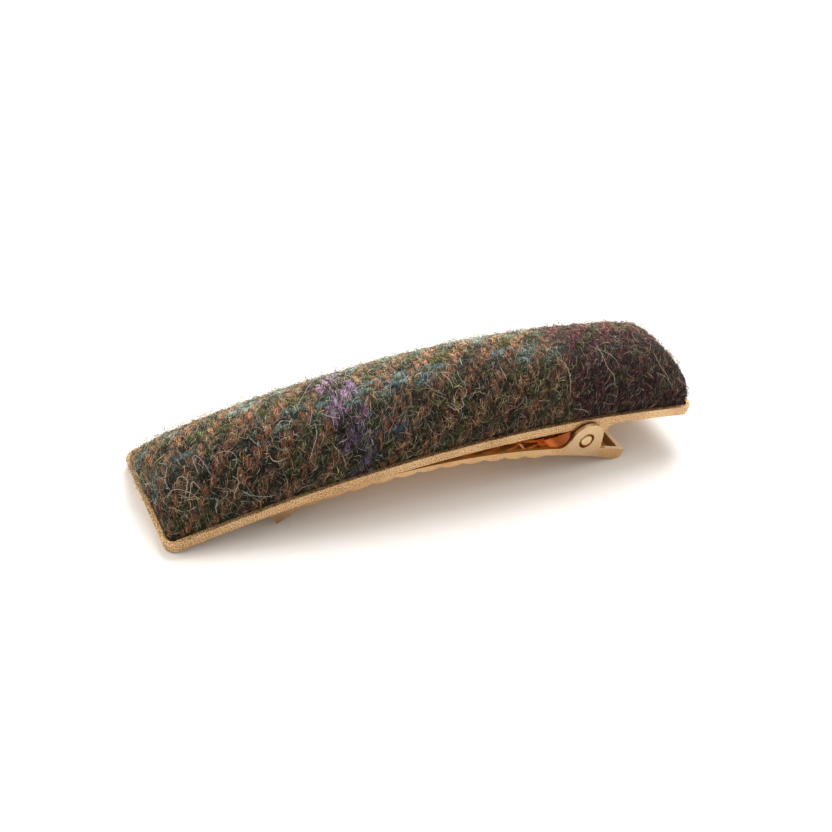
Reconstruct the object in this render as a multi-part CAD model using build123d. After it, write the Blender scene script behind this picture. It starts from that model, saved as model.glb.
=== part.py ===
from build123d import *
from math import asin, atan2, cos, degrees, hypot, sin
import os

os.makedirs("parts", exist_ok=True)

# A padded hair barrette: a curved metal tray with a raised rim holds a domed
# cloth pad. A stamped jaw as wide as the tray is hinged under it on two ears,
# and a bent leaf in the jaw keeps it shut. Squeezing the short tail of the jaw
# towards the tray swings the toothed end down and open.
#
# Everything is drawn in the tray's own frame first: X along the tray, Y across
# it, Z up, with zero at the top of the arch of the tray's underside. The last
# step tips the clip so that it stands on the tray's left end and on the tail,
# as it does on a table. Lengths are in millimetres.

# Tray
tray_length = 80.0          # measured along the curve of the underside
tray_width = 18.0
tray_radius = 200.0         # radius of the underside's curve
tray_sheet = 0.5            # thickness of the tray's floor
rim_height = 1.4            # outside height of the tray
rim_sheet = 0.6             # thickness of the rim and of the tray's ears
tray_corner = 1.6           # corner radius seen from above

# Pad
pad_gap = 0.08              # play between the pad and the metal
pad_height = 7.7            # top of the pad above the tray's underside
pad_radius = 180.0          # radius of the line along the pad's top
pad_lean = 3.2              # shift of that line's centre: fuller at the hinge end
pad_corner = 3.4            # corner radius of the pad seen from above
pad_squareness = 3.7        # how squarely the section's top meets its sides
pad_softness = 1.2          # more than 1: the sides slope in towards the top
pad_end_round = 0.65 * pad_height  # rounding of the pad's two ends seen from the side

# Jaw
jaw_sheet = 0.5
ear_gap = 0.2               # sideways gap between the tray's ears and the jaw's
jaw_half_width = tray_width / 2 + ear_gap + jaw_sheet  # at the ears and the tail
jaw_taper = 1.6             # the toothed tip is narrower by this on each side
jaw_tip_half_width = jaw_half_width - jaw_taper
jaw_radius = 81.0           # radius of the line through the roots of the teeth
jaw_crest = (-6.9, -0.95)   # highest point of that line
wall_radius = 95.0          # radius of the top edge of the side walls
wall_crest = (-6.0, -0.45)  # highest point of that edge
teeth = 11
teeth_from = -22.25         # the row of teeth, left and right ends
teeth_to = 13.85
tooth_depth = 0.42
beak_x = -26.3              # end of the turned-down tip
tail_x = 27.95              # end of the tail
tail_round = 0.9
taper_from = 16.0           # the jaw narrows from here to its tip

# Hinge
pivot = (20.6, -2.95)       # hinge axis seen from the side
ear_radius = 2.8            # round ears of the jaw
hole_radius = 1.25
boss_play = 0.3             # running play of the boss in the hole
boss_shift = 0.17           # the boss bears on the lower outer side of the hole

# Leaf spring
leaf_sheet = 0.35
leaf_half_width = jaw_half_width - jaw_sheet - 1.8
leaf_from = 0.6
leaf_bend = 13.4
leaf_lift_x = 16.6
leaf_tip = (20.9, -2.2)


def polar(centre, radius, angle):
    """Point at an angle measured from straight up, clockwise seen from the front."""
    return (centre[0] + radius * sin(angle), centre[1] + radius * cos(angle))


def arc_point(centre, radius, x):
    """Point on the upper side of a circle above a given x."""
    return polar(centre, radius, asin((x - centre[0]) / radius))


def arc_between(centre, radius, x_start, x_end):
    """Arc on the upper side of a circle from one x to another."""
    middle = (x_start + x_end) / 2
    return ThreePointArc(
        arc_point(centre, radius, x_start),
        arc_point(centre, radius, middle),
        arc_point(centre, radius, x_end),
    )


def across(face, low, high):
    """Turn a side view face into a solid between two distances from the middle."""
    return extrude(Plane.XZ.offset(-high) * face, amount=high - low)


def both_sides(face, low, high):
    right = across(face, low, high)
    return right + mirror(right, about=Plane.XZ)


# The tray.
tray_centre = (0, -tray_radius)
half_angle = tray_length / 2 / tray_radius


def ring_face(low, high, angle):
    """Side view of a band that follows the tray between two heights."""
    r_low = tray_radius + low
    r_high = tray_radius + high
    edges = [
        ThreePointArc(polar(tray_centre, r_high, -angle), (0, high), polar(tray_centre, r_high, angle)),
        Line(polar(tray_centre, r_high, angle), polar(tray_centre, r_low, angle)),
        ThreePointArc(polar(tray_centre, r_low, angle), (0, low), polar(tray_centre, r_low, -angle)),
        Line(polar(tray_centre, r_low, -angle), polar(tray_centre, r_high, -angle)),
    ]
    return make_face(edges)


def band(low, high, angle, half_width, corner):
    """A block that follows the tray, with rounded corners seen from above."""
    block = across(ring_face(low, high, angle), -half_width, half_width)
    posts = [e for e in block.edges() if abs(e.length - (high - low)) < 0.001]
    return fillet(posts, corner)


rim_inset = rim_sheet / tray_radius
tray = band(0, rim_height, half_angle, tray_width / 2, tray_corner)
tray -= band(
    tray_sheet, rim_height + 2, half_angle - rim_inset, tray_width / 2 - rim_sheet, tray_corner - rim_sheet
)

# The tray's ears hang down flush with its rim. Each one is a wide web that
# narrows with a curve into a round end, and carries a boss for the jaw's hole.
pivot_x, pivot_z = pivot
ear_outer = tray_width / 2
ear_inner = ear_outer - rim_sheet
web_left = pivot_x - 2.2
web_right = pivot_x + 5.8
web_top = rim_height / 2
web = make_face(
    [
        Line((web_left, arc_point(tray_centre, tray_radius, web_left)[1] + web_top), (web_left, pivot_z + 0.9)),
        Line((web_left, pivot_z + 0.9), (pivot_x - 1.9, pivot_z - 0.6)),
        ThreePointArc(
            (pivot_x - 1.9, pivot_z - 0.6), (pivot_x, pivot_z - 2.0), (pivot_x + 1.9, pivot_z - 0.6)
        ),
        Line((pivot_x + 1.9, pivot_z - 0.6), (pivot_x + 3.45, pivot_z + 0.05)),
        ThreePointArc(
            (pivot_x + 3.45, pivot_z + 0.05), (pivot_x + 4.15, pivot_z + 0.82), (web_right, pivot_z + 1.12)
        ),
        Line((web_right, pivot_z + 1.12), (web_right, arc_point(tray_centre, tray_radius, web_right)[1] + web_top)),
        Line(
            (web_right, arc_point(tray_centre, tray_radius, web_right)[1] + web_top),
            (web_left, arc_point(tray_centre, tray_radius, web_left)[1] + web_top),
        ),
    ]
)
tray += both_sides(web, ear_inner, ear_outer)

boss_radius = hole_radius - boss_play
boss_end = jaw_half_width - 0.05
boss = Plane.XZ.offset(-boss_end) * Location((pivot_x + boss_shift, pivot_z - boss_shift, 0))
boss_solid = extrude(boss * Circle(boss_radius), amount=boss_end - ear_inner)
boss_rim = boss_solid.edges().filter_by(GeomType.CIRCLE).sort_by(Axis.Y)[-1]
boss_solid = fillet(boss_rim, jaw_sheet * 0.8)
tray += boss_solid
tray += mirror(boss_solid, about=Plane.XZ)

# The pad.
# The pad's section across the tray is turned about a centre a little to one
# side of the tray's own, so the pad grows fuller towards the hinge. Its ends are
# rounded seen from the side and from above, and its underside lies in the tray.
pad_low = tray_sheet + pad_gap
pad_half = tray_width / 2 - rim_sheet - pad_gap
pad_angle = half_angle - rim_inset - pad_gap / tray_radius
pad_centre = (pad_lean, pad_height - pad_radius)
section_low = pad_low - pad_lean / 2


def dome(part_way):
    """Point on the pad's section, from the middle of the top (0) to its edge (1)."""
    rise = (1 - part_way**pad_squareness) ** (1 / pad_softness)
    return (pad_half * part_way, rim_height - 0.3 + (pad_height - rim_height + 0.3) * rise)


right_half = [dome(part_way) for part_way in (0, 0.25, 0.5, 0.7, 0.83, 0.92, 0.98, 1)]
left_half = [(-y, z) for y, z in reversed(right_half[1:])]
edge_right = right_half[-1]
edge_left = left_half[0]
section = make_face(
    [
        Spline(left_half + right_half, tangents=[(0.3, 1), (0.3, -1)]),
        Line(edge_right, (pad_half, section_low)),
        Line((pad_half, section_low), (-pad_half, section_low)),
        Line((-pad_half, section_low), edge_left),
    ]
)
section = Plane.YZ.offset(pad_lean) * section

pad_axis = Axis((pad_centre[0], 0, pad_centre[1]), (0, 1, 0))
pad_turn = degrees(half_angle) + 4
pad = revolve(section, pad_axis, revolution_arc=2 * pad_turn).rotate(pad_axis, -pad_turn)

top_left = arc_point(pad_centre, pad_radius, polar(tray_centre, tray_radius + pad_height, -pad_angle)[0])
top_right = arc_point(pad_centre, pad_radius, polar(tray_centre, tray_radius + pad_height, pad_angle)[0])
low_left = polar(tray_centre, tray_radius + pad_low, -pad_angle)
low_right = polar(tray_centre, tray_radius + pad_low, pad_angle)
side_view = make_face(
    [
        arc_between(pad_centre, pad_radius, top_left[0], top_right[0]),
        Line(top_right, low_right),
        ThreePointArc(low_right, (0, pad_low), low_left),
        Line(low_left, top_left),
    ]
)
top_corners = [v for v in side_view.vertices() if hypot(v.X, v.Y + tray_radius) > tray_radius + pad_height / 2]
side_view = fillet(top_corners, pad_end_round)
pad = pad & across(side_view, -pad_half - 1, pad_half + 1)
pad = pad & band(pad_low, pad_height + 2, pad_angle, pad_half, pad_corner)

# The jaw.
jaw_centre = (jaw_crest[0], jaw_crest[1] - jaw_radius)
wall_centre = (wall_crest[0], wall_crest[1] - wall_radius)
floor_radius = jaw_radius + jaw_sheet


def tooth_row(radius):
    """Scalloped line: one shallow arc below the circle for every tooth."""
    pitch = (teeth_to - teeth_from) / teeth
    arcs = []
    for i in range(teeth):
        left = teeth_from + i * pitch
        right = left + pitch
        low = arc_point(jaw_centre, radius - tooth_depth, (left + right) / 2)
        arcs.append(ThreePointArc(arc_point(jaw_centre, radius, left), low, arc_point(jaw_centre, radius, right)))
    return arcs


beak_top = arc_point(wall_centre, wall_radius, beak_x)
beak_heel = (teeth_from - 0.8, arc_point(jaw_centre, jaw_radius, teeth_from)[1] - 0.75)
beak_low = (beak_x + 1.05, beak_top[1] - 1.75)
tail_top = arc_point(wall_centre, wall_radius, tail_x)
tail_low = arc_point(jaw_centre, jaw_radius, tail_x - 0.35)
outline = make_face(
    tooth_row(jaw_radius)
    + [
        arc_between(jaw_centre, jaw_radius, teeth_to, tail_x - 0.35),
        Line(tail_low, tail_top),
        arc_between(wall_centre, wall_radius, tail_x, beak_x),
        Line(beak_top, beak_low),
        Line(beak_low, beak_heel),
        Line(beak_heel, arc_point(jaw_centre, jaw_radius, teeth_from)),
    ]
)
tail_corner = [v for v in outline.vertices() if hypot(v.X - tail_low[0], v.Y - tail_low[1]) < 0.01]
outline = fillet(tail_corner, tail_round)

# Hollow of the channel, drawn well above the side walls. Its floor repeats the
# teeth, so that the jaw stays one sheet thick, and dips into the beak.
open_z = 4.0
hollow_left = beak_x + jaw_sheet * 1.1
floor_start = arc_point(jaw_centre, floor_radius, teeth_from)
floor_end_x = tail_x - 2 * jaw_sheet
hollow = make_face(
    tooth_row(floor_radius)
    + [
        arc_between(jaw_centre, floor_radius, teeth_to, floor_end_x),
        Line(arc_point(jaw_centre, floor_radius, floor_end_x), (floor_end_x + 0.4, open_z)),
        Line((floor_end_x + 0.4, open_z), (hollow_left, open_z)),
        Line((hollow_left, open_z), (hollow_left, beak_top[1] - 0.1)),
        Line((hollow_left, beak_top[1] - 0.1), (beak_low[0] + 0.2, beak_low[1] + jaw_sheet * 1.2)),
        Line((beak_low[0] + 0.2, beak_low[1] + jaw_sheet * 1.2), floor_start),
    ]
)


def plan_face(inset):
    """Jaw seen from above: parallel at the ears and tail, tapering to the tip."""
    wide = jaw_half_width - inset
    narrow = jaw_tip_half_width - inset
    left = beak_x - 1 + inset
    right = tail_x + 1
    return Polyline(
        (left, -narrow), (taper_from, -wide), (right, -wide), (right, wide), (taper_from, wide), (left, narrow),
        close=True,
    )


plan_outer = extrude(Plane.XY.offset(-20) * make_face(plan_face(0)), amount=30)
plan_inner = extrude(Plane.XY.offset(-20) * make_face(plan_face(jaw_sheet)), amount=30)
jaw = across(outline, -20, 20) & plan_outer
jaw -= across(hollow, -20, 20) & plan_inner

# Round ears with a curved foot on the side of the teeth.
foot_z = arc_point(wall_centre, wall_radius, pivot_x - ear_radius)[1]
foot_round = 1.7
foot_x = pivot_x - ear_radius - foot_round
foot_start = arc_point(wall_centre, wall_radius, foot_x)
deep = 0.6
ear = make_face(
    [
        Line((foot_x, foot_start[1] - deep), foot_start),
        ThreePointArc(
            foot_start,
            (pivot_x - ear_radius - foot_round * 0.35, foot_z + foot_round * 0.42),
            (pivot_x - ear_radius, foot_z + foot_round * 1.15),
        ),
        Line((pivot_x - ear_radius, foot_z + foot_round * 1.15), (pivot_x - ear_radius, pivot_z)),
        ThreePointArc(
            (pivot_x - ear_radius, pivot_z), (pivot_x, pivot_z + ear_radius), (pivot_x + ear_radius, pivot_z)
        ),
        Line(
            (pivot_x + ear_radius, pivot_z),
            (pivot_x + ear_radius, arc_point(wall_centre, wall_radius, pivot_x + ear_radius)[1] - deep),
        ),
        Line(
            (pivot_x + ear_radius, arc_point(wall_centre, wall_radius, pivot_x + ear_radius)[1] - deep),
            (foot_x, foot_start[1] - deep),
        ),
    ]
)
jaw += both_sides(ear, jaw_half_width - jaw_sheet, jaw_half_width)
holes = Plane.XZ.offset(-20) * Location((pivot_x, pivot_z, 0)) * Circle(hole_radius)
jaw -= extrude(holes, amount=40)

# The leaf spring.
# It lies on the crests of the jaw's floor, climbs in one bend and ends beside
# the hinge axis, inside the circle that stays free when the jaw swings.
leaf_radius = floor_radius + 0.06
lift_low = arc_point(jaw_centre, leaf_radius, leaf_bend)
lift_high = (leaf_lift_x, pivot_z + 0.25)
leaf_face = make_face(
    [
        arc_between(jaw_centre, leaf_radius, leaf_from, leaf_bend),
        Line(lift_low, (lift_high[0], lift_high[1] - leaf_sheet)),
        Line((lift_high[0], lift_high[1] - leaf_sheet), (leaf_tip[0], leaf_tip[1] - leaf_sheet)),
        Line((leaf_tip[0], leaf_tip[1] - leaf_sheet), leaf_tip),
        Line(leaf_tip, lift_high),
        Line(lift_high, arc_point(jaw_centre, leaf_radius + leaf_sheet, leaf_bend - 0.12)),
        arc_between(jaw_centre, leaf_radius + leaf_sheet, leaf_bend - 0.12, leaf_from),
        Line(arc_point(jaw_centre, leaf_radius + leaf_sheet, leaf_from), arc_point(jaw_centre, leaf_radius, leaf_from)),
    ]
)
leaf = across(leaf_face, -leaf_half_width, leaf_half_width)

# Standing on a table.
# The clip touches the table with the lower edge of the tray's left end and with
# the rounded end of the tail. The tip angle is that of the common tangent.
heel = polar(tray_centre, tray_radius, -half_angle)
round_edge = [e for e in outline.edges() if e.geom_type == GeomType.CIRCLE and abs(e.radius - tail_round) < 0.001]
round_centre = round_edge[0].arc_center
reach = hypot(round_centre.X - heel[0], round_centre.Y - heel[1])
tip_angle = atan2(heel[1] - round_centre.Y, round_centre.X - heel[0]) + asin(tail_round / reach)

parts = {"tray": tray, "tweed_pad": pad, "lower_jaw": jaw, "leaf_spring": leaf}
heel_axis = Axis((heel[0], 0, heel[1]), (0, 1, 0))
standing = {name: solid.rotate(heel_axis, -degrees(tip_angle)) for name, solid in parts.items()}
whole = Compound(children=[s.moved(Location((0, 0, 0))) for s in standing.values()]).bounding_box()
shift = Location((-(whole.min.X + whole.max.X) / 2, 0, -heel[1]))

for name, solid in standing.items():
    placed = shift * solid
    export_step(placed, f"parts/{name}.step")
    box = placed.bounding_box()
    print(name, "volume", round(placed.volume, 1), "solids", len(placed.solids()), "valid", placed.is_valid)
    print("   x", round(box.min.X, 2), round(box.max.X, 2), "y", round(box.min.Y, 2), round(box.max.Y, 2),
          "z", round(box.min.Z, 3), round(box.max.Z, 3))
centre_x = -(whole.min.X + whole.max.X) / 2
turned = Vector(pivot_x - heel[0], 0, pivot_z - heel[1]).rotate(Axis.Y, -degrees(tip_angle))
print("tip angle", round(degrees(tip_angle), 3), "shift x", round(centre_x, 4))
print("hinge axis at x", round(turned.X + heel[0] + centre_x, 4), "z", round(turned.Z, 4))
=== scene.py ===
# %% [markdown]
# A padded hair barrette: a curved gold-coloured tray, a domed pad of hairy tweed
# in it, and a toothed jaw hinged underneath. The measured shape comes first. It
# is loaded as a frame, and every piece below is placed in that frame, in metres.

# %% Load the measured shape
from math import cos, pi, radians, sin

import bpy
import numpy as np
from mathutils import Matrix, Vector


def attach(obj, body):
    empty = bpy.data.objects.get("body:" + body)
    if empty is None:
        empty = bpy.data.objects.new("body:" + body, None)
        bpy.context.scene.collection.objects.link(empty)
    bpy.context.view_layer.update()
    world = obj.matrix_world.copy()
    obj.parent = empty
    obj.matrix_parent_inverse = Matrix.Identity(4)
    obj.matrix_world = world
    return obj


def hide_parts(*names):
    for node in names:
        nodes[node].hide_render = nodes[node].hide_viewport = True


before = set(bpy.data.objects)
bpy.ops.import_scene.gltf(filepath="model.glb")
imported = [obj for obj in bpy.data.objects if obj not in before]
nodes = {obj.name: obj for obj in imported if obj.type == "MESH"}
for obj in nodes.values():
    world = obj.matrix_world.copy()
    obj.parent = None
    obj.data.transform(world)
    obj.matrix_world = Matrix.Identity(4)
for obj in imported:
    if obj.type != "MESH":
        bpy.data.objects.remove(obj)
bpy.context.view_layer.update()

scene = bpy.context.scene
MM = 0.001

# %% [markdown]
# The tray is a strip bent to a large circle, and the whole clip stands tipped on
# the tray's left end and the jaw's tail. It is easier to shape things along a
# straight strip and bend them afterwards, so this helper takes a place along the
# strip, across it and above its underside, and gives the place in the frame.
# Lengths on the strip are in millimetres.

# %% From the straight strip to the tipped clip
TRAY_RADIUS = 200.0    # of the curve of the tray's underside
HALF_LENGTH = 40.0     # of the tray, along that curve
RIM_HEIGHT = 1.4
TILT = radians(3.669)  # the hinge end stands higher
SHIFT = 0.1693         # puts the middle of the clip over the origin
HEEL_TURN = HALF_LENGTH / TRAY_RADIUS
HEEL = (-TRAY_RADIUS * sin(HEEL_TURN), TRAY_RADIUS * cos(HEEL_TURN) - TRAY_RADIUS)


def flat_to_clip(x, y, z):
    """A place in the clip's own side view, tipped and set on the table, in metres."""
    dx, dz = x - HEEL[0], z - HEEL[1]
    tipped_x = HEEL[0] + SHIFT + dx * np.cos(TILT) - dz * np.sin(TILT)
    tipped_z = dx * np.sin(TILT) + dz * np.cos(TILT)
    return np.stack([tipped_x, y + 0 * x, tipped_z], -1) * MM


def strip_to_clip(along, across, up):
    """A place on the straight strip, bent round the tray's circle."""
    turn, radius = along / TRAY_RADIUS, TRAY_RADIUS + up
    return flat_to_clip(radius * np.sin(turn), across, radius * np.cos(turn) - TRAY_RADIUS)


left_end = strip_to_clip(np.array(-HALF_LENGTH), np.array(0.0), np.array(RIM_HEIGHT)) / MM

# %% [markdown]
# The camera has to stand where the photographer stood, or the outline cannot
# match. Its place was worked out from corners and edges of the clip: about 38
# degrees above the table, to the left of the front, with the picture rolled by
# 12 degrees. A close camera shows perspective, so the near end looks larger.

# %% Camera
PICTURE_WIDTH = 832     # in pixels
FOCAL_LENGTH = 1191.92  # in the same pixels
SENSOR_WIDTH = 36.0     # in millimetres
AIM = Vector((-2.1096, 0, 6.6609)) * MM
AZIMUTH, ELEVATION, ROLL = radians(-34.274), radians(38.327), radians(12.062)
DISTANCE = 162.764 * MM


def look_matrix(target, azimuth, elevation, roll, distance):
    """Where a camera stands that looks at the target from that direction, and how it is turned."""
    forward = Vector((-sin(azimuth) * cos(elevation), cos(azimuth) * cos(elevation), -sin(elevation)))
    level = forward.cross(Vector((0, 0, 1))).normalized()
    upright = level.cross(forward)
    right = cos(roll) * level + sin(roll) * upright
    up = -sin(roll) * level + cos(roll) * upright
    turn = Matrix((right, up, -forward)).transposed().to_4x4()
    return Matrix.Translation(target - forward * distance) @ turn


camera = bpy.data.objects.new("camera", bpy.data.cameras.new("camera"))
camera.data.sensor_width = SENSOR_WIDTH
camera.data.lens = SENSOR_WIDTH * FOCAL_LENGTH / PICTURE_WIDTH
camera.data.clip_start = 5 * MM
camera.matrix_world = look_matrix(AIM, AZIMUTH, ELEVATION, ROLL, DISTANCE)
scene.collection.objects.link(camera)
scene.camera = camera
print("camera at", [round(c / MM, 1) for c in camera.location], "lens", round(camera.data.lens, 1))

# %% [markdown]
# A node tree is a long list of small nodes. Written one by one they hide what is
# being worked out, so two helpers are made first. Wire wraps a socket, and sums
# written with it add the Math nodes. Bench adds any other node from its type,
# its settings and what goes into its sockets. Both work for shaders and for
# geometry nodes. Finish is a bench with a material on it.

# %% Wires and benches
OBJECT_NORMAL, OBJECT_PLACE = 1, 3  # outputs of the Texture Coordinate node


def linear(r, g, b):
    """A colour given as on screen, 0 to 255, as the light it stands for."""
    channels = [c / 255 for c in (r, g, b)]
    light = [c / 12.92 if c <= 0.04045 else ((c + 0.055) / 1.055) ** 2.4 for c in channels]
    return (*light, 1.0)


class Wire:
    """A number that flows through a node tree."""

    def __init__(self, bench, socket):
        self.bench, self.socket = bench, socket

    def math(self, operation, *others, first=None):
        values = [self if first is None else first, *others]
        return self.bench.wire("ShaderNodeMath", {"operation": operation}, dict(enumerate(values)))

    def __add__(self, other): return self.math("ADD", other)
    def __radd__(self, other): return self.math("ADD", other)
    def __sub__(self, other): return self.math("SUBTRACT", other)
    def __rsub__(self, other): return self.math("SUBTRACT", self, first=other)
    def __mul__(self, other): return self.math("MULTIPLY", other)
    def __rmul__(self, other): return self.math("MULTIPLY", other)
    def __truediv__(self, other): return self.math("DIVIDE", other)
    def __pow__(self, other): return self.math("POWER", other)
    def __abs__(self): return self.math("ABSOLUTE")
    def sine(self): return self.math("SINE")
    def cosine(self): return self.math("COSINE")
    def floor(self): return self.math("FLOOR")
    def above(self, other): return self.math("GREATER_THAN", other)
    def below(self, other): return self.math("LESS_THAN", other)
    def between(self, low, high): return self.above(low) * self.below(high)

    def ramp(self, low, high, bottom=0.0, top=1.0):
        """Smoothly from bottom to top while this wire goes from low to high."""
        values = {"Value": self, "From Min": low, "From Max": high, "To Min": bottom, "To Max": top}
        return self.bench.wire("ShaderNodeMapRange", {"interpolation_type": "SMOOTHSTEP"}, values)


class Bench:
    """A node tree being built."""

    def __init__(self, tree):
        self.tree = tree

    def node(self, kind, settings=None, values=None):
        made = self.tree.nodes.new(kind)
        for name, value in (settings or {}).items():
            setattr(made, name, value)
        for name, value in (values or {}).items():
            self.feed(made.inputs[name], value)
        return made

    def feed(self, socket, value):
        """Links a wire or a socket to the socket, or writes a constant in it."""
        if isinstance(value, Wire):
            value = value.socket
        if isinstance(value, bpy.types.NodeSocket):
            self.tree.links.new(value, socket)
        else:
            socket.default_value = value

    def wire(self, kind, settings=None, values=None, out=0):
        return Wire(self, self.node(kind, settings, values).outputs[out])

    def vector(self, operation, *values, out=0):
        return self.wire("ShaderNodeVectorMath", {"operation": operation}, dict(enumerate(values)), out)

    def times(self, vector, number):
        return self.wire("ShaderNodeVectorMath", {"operation": "SCALE"}, {0: vector, "Scale": number})

    def distance(self, place, other):
        return self.vector("DISTANCE", place, other, out=1)

    def join(self, x, y=0.0, z=0.0):
        return self.wire("ShaderNodeCombineXYZ", None, {0: x, 1: y, 2: z})

    def split(self, vector):
        """The x, y and z of a vector."""
        parts = self.node("ShaderNodeSeparateXYZ", None, {0: vector}).outputs
        return [Wire(self, part) for part in parts]

    def mix(self, share, first, second):
        """A colour between two colours."""
        made = self.node("ShaderNodeMix", {"data_type": "RGBA"})
        for socket, value in ((made.inputs[0], share), (made.inputs[6], first), (made.inputs[7], second)):
            self.feed(socket, value)
        return Wire(self, made.outputs[2])

    def noise(self, place, scale, detail=2.0, roughness=0.5):
        """Soft cloudy numbers around one half."""
        values = {"Vector": place, "Scale": scale, "Detail": detail, "Roughness": roughness}
        return self.wire("ShaderNodeTexNoise", None, values)


class Finish(Bench):
    """A material with one Principled shader."""

    def __init__(self, name, **constants):
        self.material = bpy.data.materials.new(name)
        self.material.use_nodes = True
        super().__init__(self.material.node_tree)
        self.shader = self.tree.nodes["Principled BSDF"]
        for socket, value in constants.items():
            self.shader.inputs[socket.replace("_", " ")].default_value = value

    def set(self, socket, value):
        self.feed(self.shader.inputs[socket], value)

    def bump(self, height, distance, strength):
        values = {"Height": height, "Distance": distance, "Strength": strength}
        self.set("Normal", self.wire("ShaderNodeBump", None, values))


print("helpers ready")

# %% [markdown]
# The clip was photographed on a bright white table with the light coming from
# above and behind: the top of the tweed is bright, its front is dark, and the
# shadow falls towards the camera. A large soft lamp behind and above gives that.
# A weaker one on the left keeps the table beside the left end bright, and a faint
# one on the right lights the hinge. The sky colour stands for the white room and
# keeps the metal from going black.

# %% Table and light
TABLE_HALF = 2.0
LAMP_SIZE = 0.50
LAMPS = [
    # name, place in metres, watts, colour
    ("lamp_back", (0.30, 0.48, 0.60), 7.6, (0.98, 1.0, 1.02)),
    ("lamp_left", (-0.50, 0.22, 0.50), 2.2, (1.0, 0.99, 0.97)),
    ("lamp_right", (0.60, -0.02, 0.30), 0.7, (1.0, 0.97, 0.93)),
]
ROOM_COLOUR, ROOM_STRENGTH = (1.0, 0.925, 0.84, 1), 0.63


def table_plane(name, half):
    """A square on the height zero, where the clip stands."""
    mesh = bpy.data.meshes.new(name)
    corners = [(-half, -half, 0), (half, -half, 0), (half, half, 0), (-half, half, 0)]
    mesh.from_pydata(corners, [], [(0, 1, 2, 3)])
    made = bpy.data.objects.new(name, mesh)
    scene.collection.objects.link(made)
    return made


def soft_lamp(name, place, watts, colour):
    """A square lamp that shines at the clip."""
    lamp = bpy.data.lights.new(name, "AREA")
    lamp.shape = "SQUARE"
    lamp.size, lamp.energy, lamp.color = LAMP_SIZE, watts, colour
    made = bpy.data.objects.new(name, lamp)
    made.location = place
    made.rotation_euler = (-Vector(place)).to_track_quat("-Z", "Y").to_euler()
    scene.collection.objects.link(made)


table = table_plane("table", TABLE_HALF)
table_finish = Finish("table_white", Roughness=0.9)
cloud = table_finish.noise(table_finish.wire("ShaderNodeTexCoord", out=OBJECT_PLACE), 3.0)
table_finish.set("Base Color", table_finish.mix(cloud, linear(243, 242, 240), linear(247, 246, 245)))
table.data.materials.append(table_finish.material)

for name, place, watts, colour in LAMPS:
    soft_lamp(name, place, watts, colour)
room = bpy.data.worlds.new("room")
scene.world = room
room.use_nodes = True
background = room.node_tree.nodes["Background"].inputs
background["Color"].default_value = ROOM_COLOUR
background["Strength"].default_value = ROOM_STRENGTH
scene.view_settings.view_transform = "Standard"

# %% [markdown]
# The metal is thin steel, pressed to shape and plated in a pale gold. The tray
# and the outside of the jaw are satin: a fine grain blurs what they reflect. The
# grain is a noise texture on Object coordinates, which gives both the speckle in
# the colour and a small bump. Inside the jaw the plating was never rubbed down,
# so it is glossier; its deeper orange gold is a painted reflection of light that
# bounces in it twice. The tail's inside is paler and less metallic: a painted
# reflection of the white room.

# %% Plated finishes
BOSS_PLACE, BOSS_REACH = (20.7 * MM, 0, 4.7 * MM), 1.5 * MM  # the tray's bosses, seen from the side
EYE_PLACE = (20.6 * MM, 0, 4.9 * MM)                         # the round holes in the jaw's ears
EAR_FROM, EAR_ABOVE = 16 * MM, 5 * MM
TAIL_FROM = 24.5 * MM


def plating(name, pale, deep, grain_size, roughness, bump_height, contrast=1.0):
    """Gold plating with a grain of the given size in mm. Gives the bench, the colour and the roughness."""
    finish = Finish(name, Metallic=1.0)
    place = finish.wire("ShaderNodeTexCoord", out=OBJECT_PLACE)
    grain = finish.noise(place, 1 / (grain_size * MM), 2.0, 0.7)
    cloud = finish.noise(place, 1 / (5 * MM), 2.0, 0.5)
    tone = (grain.ramp(0.32, 0.68) - 0.5) * contrast + cloud.ramp(0.3, 0.7) * 0.4 + 0.3
    colour = finish.mix(tone, deep, pale)
    rough = grain.ramp(0.25, 0.75, roughness - 0.08, roughness + 0.08)
    finish.bump(grain, bump_height * MM, 0.7)
    return finish, colour, rough


# The tray: a strong speckle, but none on the bosses, which the jaw rubs smooth.
satin, colour, rough = plating(
    "satin_gold", pale=linear(231, 197, 150), deep=linear(151, 112, 74),
    grain_size=0.18, roughness=0.42, bump_height=0.04, contrast=2.8)
place = satin.wire("ShaderNodeTexCoord", out=OBJECT_PLACE)
from_side = satin.vector("MULTIPLY", place, (1, 0, 1))
boss = satin.distance(from_side, BOSS_PLACE).below(BOSS_REACH)
satin.set("Base Color", satin.mix(boss, colour, linear(224, 194, 150)))
satin.set("Roughness", rough)

# The leaf spring: almost polished.
bright, colour, rough = plating(
    "bright_gold", pale=linear(255, 214, 136), deep=linear(232, 158, 70),
    grain_size=0.5, roughness=0.22, bump_height=0.004)
bright.set("Base Color", colour)
bright.set("Roughness", rough)

# The jaw: side faces that look towards the middle plane, and faces that look up,
# are its inside. The outside has painted shade towards the tip, under the tray.
jaw_gold, outside, rough = plating(
    "jaw_gold", pale=linear(228, 191, 144), deep=linear(194, 151, 103),
    grain_size=0.2, roughness=0.36, bump_height=0.01, contrast=0.7)
coordinates = jaw_gold.node("ShaderNodeTexCoord").outputs
along, across, up = jaw_gold.split(coordinates[OBJECT_PLACE])
_, facing_side, facing_up = jaw_gold.split(coordinates[OBJECT_NORMAL])
inwards = (across.math("SIGN") * facing_side * -1).ramp(0.3, 0.6)
on_ear = along.above(EAR_FROM) * up.above(EAR_ABOVE)
within = inwards.math("MAXIMUM", facing_up.ramp(0.5, 0.8) * (1 - on_ear))
tail = within * along.above(TAIL_FROM)
inside = within - tail
# Painted shade: the outside darkens towards the tip.
outside = jaw_gold.times(outside, along.ramp(-25 * MM, -14 * MM, 0.58, 1.0))
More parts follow.
